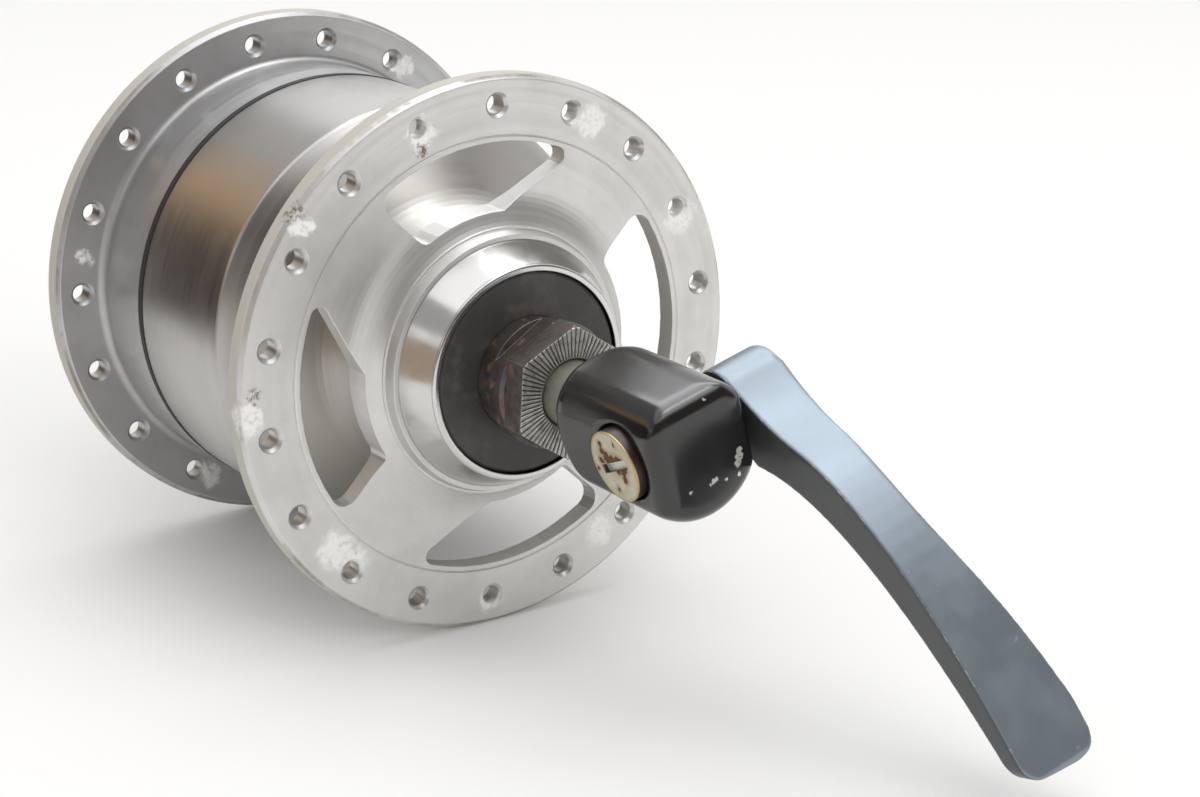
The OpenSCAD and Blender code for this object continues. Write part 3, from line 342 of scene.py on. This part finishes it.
def satin_alloy(name, light, dark, oxide_places, dirt_places):
    """Satin aluminium with turning rings, a dull rim, whitish oxide and brown dirt."""
    finish, tree, shader = new_finish(name, light, metallic=1.0, roughness=0.38)
    powder = ramp(tree, grain(tree, 1300.0), 0.3, 0.55, 0.3, 0.85)
    oxide = calc(tree, "MULTIPLY", blotches(tree, oxide_places, ragged=0.005, scale=420.0), powder)
    specks = ramp(tree, grain(tree, 1900.0), 0.4, 0.6)
    dirt = calc(tree, "MULTIPLY", blotches(tree, dirt_places, ragged=0.004, scale=600.0), specks)
    radius = axle_radius(tree)
    rim = ramp(tree, radius, *rim_zone)
    bevel = calc(tree, "MULTIPLY", ramp(tree, radius, *bevel_zone), inverse(tree, rim))
    grime = calc(tree, "MULTIPLY", bevel, ramp(tree, grain(tree, 90.0, 6.0), 0.42, 0.62, 0.0, 0.7))
    dirt = calc(tree, "MAXIMUM", dirt, grime)
    edge = use(tree, worn_edges, {"Width": 0.0003, "Grain": 700.0, "Amount": 0.4}, "Mask")
    base = mottled(tree, grain(tree, 120.0), 0.35, 0.7, light, dark)
    base = tint(tree, edge, base, bare_alloy)
    base = tint(tree, rim, base, rim_grey)
    base = tint(tree, oxide, base, white_oxide)
    soiled = calc(tree, "MAXIMUM", oxide, dirt)
    dulled = calc(tree, "MAXIMUM", soiled, calc(tree, "MULTIPLY", rim, 0.75))
    satin = ramp(tree, use(tree, lathe_marks, {"Lines": 4200.0}, "Sheen"), 0.0, 1.0, 0.36, 0.45)
    vary(
        tree, shader,
        color=tint(tree, dirt, base, brown_dirt),
        metallic=ramp(tree, dulled, 0.0, 1.0, 0.86, 0.05),
        roughness=calc(tree, "ADD", satin, ramp(tree, dulled, 0.0, 1.0, 0.0, 0.33)),
    )
    marks = calc(tree, "MULTIPLY", use(tree, lathe_marks, {"Lines": 9000.0}, "Height"), 0.14)
    crust = calc(tree, "MULTIPLY", oxide, calc(tree, "ADD", grain(tree, 2600.0), 0.6))
    relief(tree, shader, calc(tree, "ADD", marks, crust), depth=0.00004, soft=edge_round)
    return finish


near_oxide = [(x, face_y, z, reach) for x, z, reach in (
    (-0.0105, 0.0325, 0.0030), (0.0158, 0.0311, 0.0034), (0.0312, 0.0152, 0.0036),
    (-0.0375, -0.0018, 0.0030), (-0.0257, -0.0225, 0.0036), (-0.0013, -0.0356, 0.0026),
    (0.0175, -0.0292, 0.0030), (-0.0227, -0.0247, 0.0030), (-0.0290, 0.0228, 0.0020),
)]
near_dirt = [(x, face_y, z, reach) for x, z, reach in (
    (-0.0305, 0.0252, 0.0022), (-0.0111, 0.0305, 0.0013), (-0.0368, 0.0012, 0.0014),
)]
near_light = (0.68, 0.675, 0.66)
near_dark = (0.62, 0.61, 0.59)
dress(satin_alloy("near_flange_alloy", near_light, near_dark, near_oxide, near_dirt), "left_flange")

# The far end of the drum: a second aluminium turning that carries the other spoke flange and bearing.
# A black rubber ring seals the seam between it and the shell.
inner_face_y = 0.0278
far_oxide = [(x, inner_face_y, z, reach) for x, z, reach in (
    (-0.0345, 0.0062, 0.0020), (0.0205, 0.0284, 0.0026), (-0.0155, -0.0314, 0.0022),
)]
far_dirt = [(0.0338, inner_face_y, 0.0092, 0.0016)]
# Painted shade: the far flange is the same alloy as the near one, coloured darker because it lies in shade.
far_light_shaded = (0.53, 0.53, 0.535)
far_dark_shaded = (0.48, 0.475, 0.47)
dress(satin_alloy("far_flange_alloy_painted_shade", far_light_shaded, far_dark_shaded, far_oxide, far_dirt), "flange_cap")
dress(rubber, "seam_seal")

# The magnets: ground blocks of dark ferrite glued inside an iron ring, one for each claw of the stator.
# They turn with the shell, a third of a millimetre outside the claws.
ferrite, tree, shader = new_finish("ground_ferrite", (0.12, 0.12, 0.13), metallic=0.0, roughness=0.5)
cloud = grain(tree, 2200.0)
vary(
    tree, shader,
    color=tint(tree, cloud, (0.07, 0.07, 0.08), (0.18, 0.18, 0.19)),
    roughness=ramp(tree, cloud, 0.3, 0.7, 0.4, 0.6),
)
relief(tree, shader, use(tree, lathe_marks, {"Lines": 8000.0}, "Height"), depth=0.00002, soft=edge_round)
dress(ferrite, "magnets")
dress(iron, "back_iron_ring")

# The dust caps: flat steel discs painted matte black, pressed on the cones inside the polished lips.
# Old dust lies on them in faint clouds.
cap_black = (0.036, 0.033, 0.032)
cap_dusty = (0.075, 0.066, 0.060)
charcoal, tree, shader = new_finish("matte_charcoal", (0.040, 0.037, 0.036), metallic=0.0, roughness=0.55)
dust = ramp(tree, grain(tree, 240.0, 6.0), 0.45, 0.75)
vary(
    tree, shader,
    color=tint(tree, dust, cap_black, cap_dusty),
    roughness=ramp(tree, dust, 0.0, 1.0, 0.45, 0.7),
)
relief(tree, shader, grain(tree, 3200.0), depth=0.00003, soft=edge_round)
dress(charcoal, "left_dust_cap", "right_dust_cap")

# The cones and locknuts: oil-blackened steel, browned by rust where the black has gone.
# The ridges that bite into the fork are worn bright.
ridge_root, ridge_top = 0.04976, 0.04994
black_light = (0.120, 0.108, 0.102)
black_dark = (0.062, 0.050, 0.044)
rust_brown = (0.170, 0.086, 0.048)
worn_steel = (0.42, 0.40, 0.38)
ridge_bright = (0.62, 0.61, 0.58)
browned, tree, shader = new_finish("browned_steel", (0.06, 0.05, 0.044), metallic=1.0, roughness=0.42)
cloud = grain(tree, 380.0, 6.0)
rust = ramp(tree, grain(tree, 560.0, 7.0), 0.55, 0.68)
ridge = ramp(tree, calc(tree, "ABSOLUTE", axle_station(tree)), ridge_root, ridge_top)
ridge = calc(tree, "MULTIPLY", ridge, ramp(tree, grain(tree, 900.0), 0.3, 0.6, 0.45, 1.0))
edge = use(tree, worn_edges, {"Width": 0.00025, "Grain": 1700.0, "Amount": 0.36}, "Mask")
base = mottled(tree, cloud, 0.35, 0.7, black_light, black_dark)
base = tint(tree, rust, base, rust_brown)
base = tint(tree, calc(tree, "MULTIPLY", edge, 0.5), base, worn_steel)
oiled = ramp(tree, cloud, 0.3, 0.7, 0.32, 0.48)
vary(
    tree, shader,
    color=tint(tree, ridge, base, ridge_bright),
    metallic=ramp(tree, calc(tree, "SUBTRACT", rust, ridge), -1.0, 1.0, 0.9, 0.3),
    roughness=calc(tree, "ADD", oiled, ramp(tree, rust, 0.0, 1.0, 0.0, 0.3)),
)
relief(tree, shader, grain(tree, 1700.0, 6.0), depth=0.00005, soft=0.00015)
dress(browned, "left_cone", "right_cone", "left_locknut", "right_locknut")

# The terminal block: black moulded plastic on the far end of the axle, with two stamped brass blades.
# A fine spark-eroded grain from its mould covers it.
block_black = (0.028, 0.028, 0.031)
block_grey = (0.055, 0.052, 0.050)
moulded, tree, shader = new_finish("moulded_black", (0.030, 0.030, 0.033), metallic=0.0, roughness=0.45)
pits = grain(tree, 4200.0, 2.0)
vary(
    tree, shader,
    color=mottled(tree, grain(tree, 300.0), 0.5, 0.8, block_black, block_grey),
    roughness=ramp(tree, pits, 0.3, 0.7, 0.38, 0.55),
)
relief(tree, shader, pits, depth=0.00004, soft=0.0004)
dress(moulded, "terminal_block")
dress(brass, "terminal_blades")

# The skewer's steel pieces: a rod through the axle with an eye at one end for the cam, the cam shaft
# that crosses this eye, and a clamp washer in the face of the housing. All three are turned and left plain.
dress(machined, "skewer_rod", "clamp_washer", "cam_shaft")

# The rod's thread: rolled into the far end of the rod, and seen between the axle's end and the nut.
# It is one ridge that runs round the rod as a helix and fades out at both ends.
clear_of_axle, clear_of_nut = 0.0004, 0.0001
thread_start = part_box("axle")[1][1] + clear_of_axle
thread_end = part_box("adjusting_nut")[0][1] - clear_of_nut
pitch, rod_r, crest = 0.0008, 0.0025, 0.00016
flank, flat_half, sunk = 0.00036, 0.00006, 0.00004
steps_per_turn = 48
travel = thread_end - thread_start - 2 * flank
steps = int(steps_per_turn * travel / pitch)
foot_r = rod_r - sunk
points = []
for step in range(steps + 1):
    turn = math.tau * step / steps_per_turn
    middle = thread_start + flank + travel * step / steps
    top_r = rod_r + crest * min(1.0, 2 * step / steps_per_turn, 2 * (steps - step) / steps_per_turn)
    for out_r, along in ((foot_r, -flank), (top_r, -flat_half), (top_r, flat_half), (foot_r, flank)):
        points.append((out_r * math.sin(turn), middle + along, out_r * math.cos(turn)))
corners = 4
faces = [
    (ring + i, ring + corners + i, ring + corners + (i + 1) % corners, ring + (i + 1) % corners)
    for ring in range(0, corners * steps, corners) for i in range(corners)
]
faces += [tuple(range(corners)), tuple(reversed(range(corners * steps, corners * (steps + 1))))]
mesh = bpy.data.meshes.new("rod_thread")
mesh.from_pydata(points, [], faces)
mesh.materials.append(machined)
rod_thread = bpy.data.objects.new("rod_thread", mesh)
bpy.context.scene.collection.objects.link(rod_thread)
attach(rod_thread, "rod")

# The black pieces of the skewer: the cam housing and the adjusting nut, cast and painted satin black.
# The paint is chipped to bare metal along the outer edges and at a few knocks.
# A white nylon ring in the nut grips the thread.
front_y = -0.0787
knocks = [(x, front_y, z, reach) for x, z, reach in (
    (0.0054, -0.0005, 0.0006), (0.0054, -0.0013, 0.0008), (0.0052, -0.0022, 0.0007),
    (0.0055, -0.0037, 0.0004), (0.0019, -0.0036, 0.0004), (0.0015, -0.0038, 0.0004),
    (0.0012, -0.0041, 0.0004), (0.0035, -0.0040, 0.0003), (-0.0020, -0.0046, 0.0003),
)]
knocks.append((0.0001, -0.0783, 0.0070, 0.0003))
paint_plain = (0.013, 0.0125, 0.013)
paint_black = (0.0075, 0.0066, 0.0066)
paint_dull = (0.0110, 0.0096, 0.0092)
chipped_metal = (0.58, 0.56, 0.53)


def soften(name, grid, passes, kept):
    """Rounds the edges of a solid as casting, forging and paint do, then keeps a share of its faces."""
    cast = nodes[name].modifiers.new("cast_skin", "REMESH")
    cast.mode = "VOXEL"
    cast.voxel_size = grid
    cast.use_smooth_shade = True
    smooth = nodes[name].modifiers.new("cast_smooth", "SMOOTH")
    smooth.factor = 0.5
    smooth.iterations = passes
    lighter = nodes[name].modifiers.new("cast_lighter", "DECIMATE")
    lighter.ratio = kept


black_paint, tree, shader = new_finish("satin_black_paint", paint_plain, metallic=0.0, roughness=0.26)
chip = use(tree, worn_edges, {"Width": 0.0007, "Grain": 620.0, "Amount": 0.12}, "Mask")
flaked = ramp(tree, grain(tree, 2000.0, 5.0), 0.34, 0.48)
knocked = calc(tree, "MULTIPLY", blotches(tree, knocks, ragged=0.0007, scale=2300.0), flaked)
chip = calc(tree, "MAXIMUM", chip, ramp(tree, knocked, 0.3, 0.5))
dull = ramp(tree, grain(tree, 120.0, 3.0), 0.4, 0.7)
vary(
    tree, shader,
    color=tint(tree, chip, tint(tree, dull, paint_black, paint_dull), chipped_metal),
    metallic=calc(tree, "MULTIPLY", chip, 0.5),
    roughness=ramp(tree, dull, 0.0, 1.0, 0.18, 0.25),
)
peel = calc(tree, "MULTIPLY", grain(tree, 1300.0, 2.0), 0.15)
peel = calc(tree, "SUBTRACT", peel, calc(tree, "MULTIPLY", chip, 0.2))
relief(tree, shader, peel, depth=0.00003, soft=0.0005)
shader.inputs["Coat Weight"].default_value = 0.5
shader.inputs["Coat Roughness"].default_value = 0.14
dress(black_paint, "cam_housing", "adjusting_nut")
soften("cam_housing", grid=0.00022, passes=60, kept=0.6)

nylon, tree, shader = new_finish("white_nylon", (0.86, 0.86, 0.84), metallic=0.0, roughness=0.42)
cloud = grain(tree, 900.0)
vary(tree, shader, color=tint(tree, cloud, (0.88, 0.88, 0.86), (0.76, 0.75, 0.71)))
relief(tree, shader, cloud, depth=0.00002, soft=edge_round)
dress(nylon, "nut_insert")

# The slotted disc on the side of the housing: zinc-plated steel riveted to the cam shaft.
# Rust has spread from its slot and a few specks sit on the plating.
lean = math.radians(15.5)
pivot = Vector((0.0, -0.0711, 0.0))
pivot_axis = Vector((math.cos(lean), 0.0, math.sin(lean)))
disc_out = 0.0084
disc_middle = pivot - disc_out * pivot_axis
under_face = (0.0001, 0.0003)
slot_bottom = (0.0007, 0.00078)
disc_side = (0.0046, 0.00475)
disc_rim_reflection_zone = (0.0043, 0.0047)
stains = [
    (-0.0088, -0.0688, 0.0002, 0.0006), (-0.0085, -0.0689, -0.0007, 0.0007),
    (-0.0085, -0.0695, -0.0009, 0.0008), (-0.0081, -0.0684, -0.0021, 0.0007),
    (-0.0083, -0.0698, -0.0014, 0.0011), (-0.0083, -0.0710, -0.0013, 0.0010),
    (-0.0084, -0.0722, -0.0011, 0.0009), (-0.0084, -0.0731, -0.0011, 0.0008),
    (-0.0081, -0.0735, -0.0020, 0.0006), (-0.0080, -0.0718, -0.0027, 0.0007),
    (-0.0080, -0.0729, -0.0026, 0.0008), (-0.0077, -0.0729, -0.0035, 0.0007),
    (-0.0090, -0.0721, 0.0011, 0.0004), (-0.0072, -0.0709, -0.0055, 0.0005),
    (-0.0077, -0.0671, -0.0036, 0.0004),
]
halo_spread = 1.7
halos = [(x, y, z, halo_spread * reach) for x, y, z, reach in stains]
plate_light = (0.58, 0.55, 0.45)
plate_dull = (0.48, 0.45, 0.34)
rust_halo = (0.38, 0.25, 0.10)
rim_painted_reflection = (0.52, 0.40, 0.16)
painted_slot_shade = (0.10, 0.075, 0.06)
slot_bright = (0.78, 0.77, 0.72)
side_dark = (0.030, 0.016, 0.013)
rust_deep = (0.105, 0.040, 0.013)

stained, tree, shader = new_finish("stained_zinc", (0.60, 0.59, 0.52), metallic=0.6, roughness=0.38)
halo = calc(tree, "MULTIPLY", blotches(tree, halos, ragged=0.0012, scale=900.0), 0.6)
rust = ramp(tree, blotches(tree, stains, ragged=0.0014, scale=1400.0), 0.3, 0.8)
place = place_calc(tree, "SUBTRACT", on_piece(tree), disc_middle)
depth = place_calc(tree, "DOT_PRODUCT", place, pivot_axis)
flat = place_calc(tree, "SUBTRACT", place, place_calc(tree, "MULTIPLY", pivot_axis, depth))
radius = place_calc(tree, "LENGTH", flat)
below = ramp(tree, depth, *under_face)
side = calc(tree, "MULTIPLY", below, ramp(tree, radius, *disc_side))
slot_floor = ramp(tree, depth, *slot_bottom)
slot_wall = calc(tree, "MULTIPLY", below, inverse(tree, slot_floor))
base = mottled(tree, grain(tree, 500.0), 0.35, 0.7, plate_light, plate_dull)
base = tint(tree, halo, base, rust_halo)
# Painted reflection: a golden ring along the rim of the disc's face.
base = tint(tree, ramp(tree, radius, *disc_rim_reflection_zone), base, rim_painted_reflection)
# Painted shade: the slot's walls, between the face and the slot floor, get a dark brown.
base = tint(tree, slot_wall, base, painted_slot_shade)
base = tint(tree, slot_floor, base, slot_bright)
base = tint(tree, side, base, side_dark)
vary(
    tree, shader,
    color=tint(tree, rust, base, rust_deep),
    metallic=ramp(tree, calc(tree, "MAXIMUM", rust, side), 0.0, 1.0, 0.6, 0.0),
    roughness=ramp(tree, rust, 0.0, 1.0, 0.36, 0.75),
)
crust = calc(tree, "ADD", rust, calc(tree, "MULTIPLY", grain(tree, 2500.0), 0.3))
relief(tree, shader, crust, depth=0.00003, soft=0.00015)
dress(stained, "cam_cap")

# The lever: a forged aluminium arm with slate-grey satin paint, pressed on the cam shaft.
# Handling has worn its long edges bright and left fine scratches along the broad face. Its flat sides are
# painted a darker grey as painted shade.
slate_dark = (0.205, 0.245, 0.282)
slate_light = (0.235, 0.277, 0.313)
flank_painted_shade = (0.085, 0.088, 0.092)
scratch_grey = (0.40, 0.44, 0.46)
edge_bright = (0.55, 0.56, 0.56)

scratch_turns = ((0.3, 0.5, 0.9), (0.9, -0.4, 2.3))
scratch_values = {"Stretch": 14.0, "Grain": 900.0, "Amount": 0.3}
fine_scratches, given, out = new_effect("fine_scratches", scratch_values, ["Mask"])
thin_start = calc(fine_scratches, "SUBTRACT", 0.9, given["Amount"])
thin_full = calc(fine_scratches, "SUBTRACT", 0.96, given["Amount"])
where = on_piece(fine_scratches)
lines = None
for turn in scratch_turns:
    inputs = {"Vector": where, "Rotation": turn}
    turned = put(fine_scratches, "ShaderNodeVectorRotate", inputs, rotation_type="EULER_XYZ").outputs[0]
    parts = put(fine_scratches, "ShaderNodeSeparateXYZ", {0: turned}).outputs
    drawn = put(fine_scratches, "ShaderNodeCombineXYZ", {
        0: parts[0], 1: calc(fine_scratches, "DIVIDE", parts[1], given["Stretch"]), 2: parts[2],
    }).outputs[0]
    thin = ramp(fine_scratches, grain(fine_scratches, given["Grain"], 2.0, drawn), thin_start, thin_full)
    lines = thin if lines is None else calc(fine_scratches, "MAXIMUM", lines, thin)
fine_scratches.links.new(lines, out["Mask"])

slate, tree, shader = new_finish("slate_satin_paint", (0.22, 0.26, 0.30), metallic=0.6, roughness=0.4)
scratch = use(tree, fine_scratches, {"Stretch": 9.0, "Grain": 900.0, "Amount": 0.19}, "Mask")
cloud = ramp(tree, grain(tree, 150.0, 5.0), 0.35, 0.7)
as_made = put(tree, "ShaderNodeNewGeometry").outputs["Normal"]
facing = calc(tree, "ABSOLUTE", place_calc(tree, "DOT_PRODUCT", as_made, pivot_axis))
long_edge = calc(tree, "MULTIPLY", ramp(tree, facing, 0.35, 0.5), ramp(tree, facing, 0.7, 0.85, 1.0, 0.0))
edge = calc(tree, "MULTIPLY", long_edge, ramp(tree, grain(tree, 650.0, 6.0), 0.52, 0.6))
base = tint(tree, cloud, slate_dark, slate_light)
# Painted shade: the flat sides, which face along the pivot, get a darker grey than the broad face.
base = mottled(tree, facing, 0.6, 0.9, base, flank_painted_shade)
base = tint(tree, calc(tree, "MULTIPLY", scratch, 0.3), base, scratch_grey)
satin = ramp(tree, cloud, 0.0, 1.0, 0.34, 0.40)
vary(
    tree, shader,
    color=tint(tree, edge, base, edge_bright),
    metallic=ramp(tree, edge, 0.0, 1.0, 0.6, 1.0),
    roughness=calc(tree, "ADD", satin, calc(tree, "MULTIPLY", scratch, 0.1)),
)
peel = calc(tree, "MULTIPLY", grain(tree, 2600.0, 2.0), 0.4)
relief(tree, shader, calc(tree, "SUBTRACT", peel, scratch), depth=0.00001, soft=0.0003)
dress(slate, "lever_arm")
soften("lever_arm", grid=0.00014, passes=60, kept=0.3)

# The stage: a plain white floor just under the flanges, soft lamps and a white surround.
# Parts of a wide dome stand for a room, with walls, a shelf and a bright ceiling that only reflections see.
floor_z = -0.0391
floor_half = 3.0
floor_white = (0.90, 0.895, 0.885)


def sheet_of(name, points, faces, color, glow=(0, 0, 0)):
    """A sheet of the stage, plain coloured or glowing."""
    mesh = bpy.data.meshes.new(name)
    mesh.from_pydata(points, [], faces)
    piece = bpy.data.objects.new(name, mesh)
    bpy.context.scene.collection.objects.link(piece)
    finish, tree, shader = new_finish(name, color, metallic=0.0, roughness=0.9)
    shader.inputs["Specular IOR Level"].default_value = 0.0
    shader.inputs["Emission Color"].default_value = (*glow, 1)
    shader.inputs["Emission Strength"].default_value = 1.0
    mesh.materials.append(finish)
    return piece


floor_corners = [(x * floor_half, y * floor_half, floor_z) for x, y in ((-1, -1), (1, -1), (1, 1), (-1, 1))]
sheet_of("floor", floor_corners, [(0, 1, 2, 3)], floor_white)


def soft_lamp(name, place, size, power, color):
    """A square soft lamp that faces the middle of the hub."""
    lamp = bpy.data.lights.new(name, "AREA")
    lamp.size = size
    lamp.energy = power
    lamp.color = color
    stand = bpy.data.objects.new(name, lamp)
    stand.location = place
    stand.rotation_euler = (-Vector(place)).to_track_quat("-Z", "Y").to_euler()
    stand.visible_glossy = False
    bpy.context.scene.collection.objects.link(stand)


soft_lamp("top_lamp", (0.1, 0.1, 0.9), size=0.9, power=2.9, color=(1.0, 0.99, 0.97))
soft_lamp("front_lamp", (0.1, -0.9, 0.45), size=0.7, power=3.0, color=(1.0, 0.99, 0.98))


def between(ends, share):
    """An angle in radians, a share of the way from one end in degrees to the other."""
    return math.radians(ends[0] + (ends[1] - ends[0]) * share)


def room_card(name, turns, rises, color, reach=1.6, foot=None):
    """Part of a wide dome round the hub, between two turns and two rises, that only reflections see.

    With a foot it also covers the floor, from the dome in to that distance from the hub."""
    columns, rows = 24, 8
    above_floor = 0.0005
    rings = [(foot, floor_z + above_floor)] if foot else []
    for row in range(rows + 1):
        rise = between(rises, row / rows)
        rings.append((reach * math.cos(rise), reach * math.sin(rise)))
    points = []
    for out_r, height in rings:
        for column in range(columns + 1):
            turn = between(turns, column / columns)
            points.append((out_r * math.cos(turn), out_r * math.sin(turn), height))
    across = columns + 1
    starts = [across * ring for ring in range(len(rings) - 1)]
    faces = [
        (k, k + 1, k + 1 + across, k + across)
        for start in starts for k in range(start, start + columns)
    ]
    card = sheet_of(name, points, faces, (0, 0, 0), color)
    card.visible_camera = False
    card.visible_diffuse = False
    card.visible_shadow = False
    card.visible_transmission = False


room_card("dim_wall", (95, 160), (-1.0, 19), (0.06, 0.05, 0.045), foot=0.2)
room_card("warm_wall", (160, 205), (-1.0, 19), (0.46, 0.36, 0.28), foot=0.2)
room_card("golden_shelf", (95, 150), (19, 27), (1.05, 0.66, 0.31))
room_card("grey_wall", (80, 205), (27, 50), (0.46, 0.455, 0.45))
room_card("ceiling", (0, 360), (50, 90), (1.4, 1.4, 1.42))
room_card("window", (20, 80), (37, 78), (3.6, 3.65, 3.75), reach=1.5)
room_card("lamp_behind", (270, 330), (57, 72), (3.0, 3.0, 3.05), reach=1.5)
room_card("lamp_above", (300, 380), (72, 86), (7.0, 7.0, 7.1), reach=1.5)
room_card("room_behind", (205, 345), (2, 50), (0.14, 0.122, 0.11))

surround_light = 0.81
world = bpy.data.worlds.new("surround")
bpy.context.scene.world = world
world.use_nodes = True
sky = world.node_tree
sky.nodes.clear()
seen = put(sky, "ShaderNodeLightPath").outputs
shown = calc(sky, "MAXIMUM", seen["Is Camera Ray"], seen["Is Glossy Ray"])
shown = calc(sky, "MAXIMUM", shown, seen["Is Transmission Ray"])
glow = put(sky, "ShaderNodeBackground", {"Color": (1, 1, 1, 1), "Strength": surround_light}).outputs[0]
white = put(sky, "ShaderNodeBackground", {"Color": (1, 1, 1, 1), "Strength": 1.0}).outputs[0]
both = put(sky, "ShaderNodeMixShader", {0: shown, 1: glow, 2: white}).outputs[0]
put(sky, "ShaderNodeOutputWorld", {"Surface": both})

# The camera: a short telephoto lens close to the hub, a little above it and on the lever's side.
# Its place and its three directions were solved from the spoke holes and the rims of both flanges.
eye = Vector((-0.17985, -0.31747, 0.10668))
ahead = Vector((0.53792, 0.78155, -0.31595))
rightward = Vector((0.82375, -0.56696, 0.0))
upward = Vector((0.17913, 0.26026, 0.94878))
lens = bpy.data.cameras.new("camera")
lens.sensor_fit = "HORIZONTAL"
lens.sensor_width = 36.0
lens.lens = 77.65
camera = bpy.data.objects.new("camera", lens)
aim = Matrix((rightward, upward, -ahead)).transposed()
camera.matrix_world = Matrix.Translation(eye) @ aim.to_4x4()
bpy.context.scene.collection.objects.link(camera)
bpy.context.scene.camera = camera
bpy.context.scene.view_settings.view_transform = "Standard"
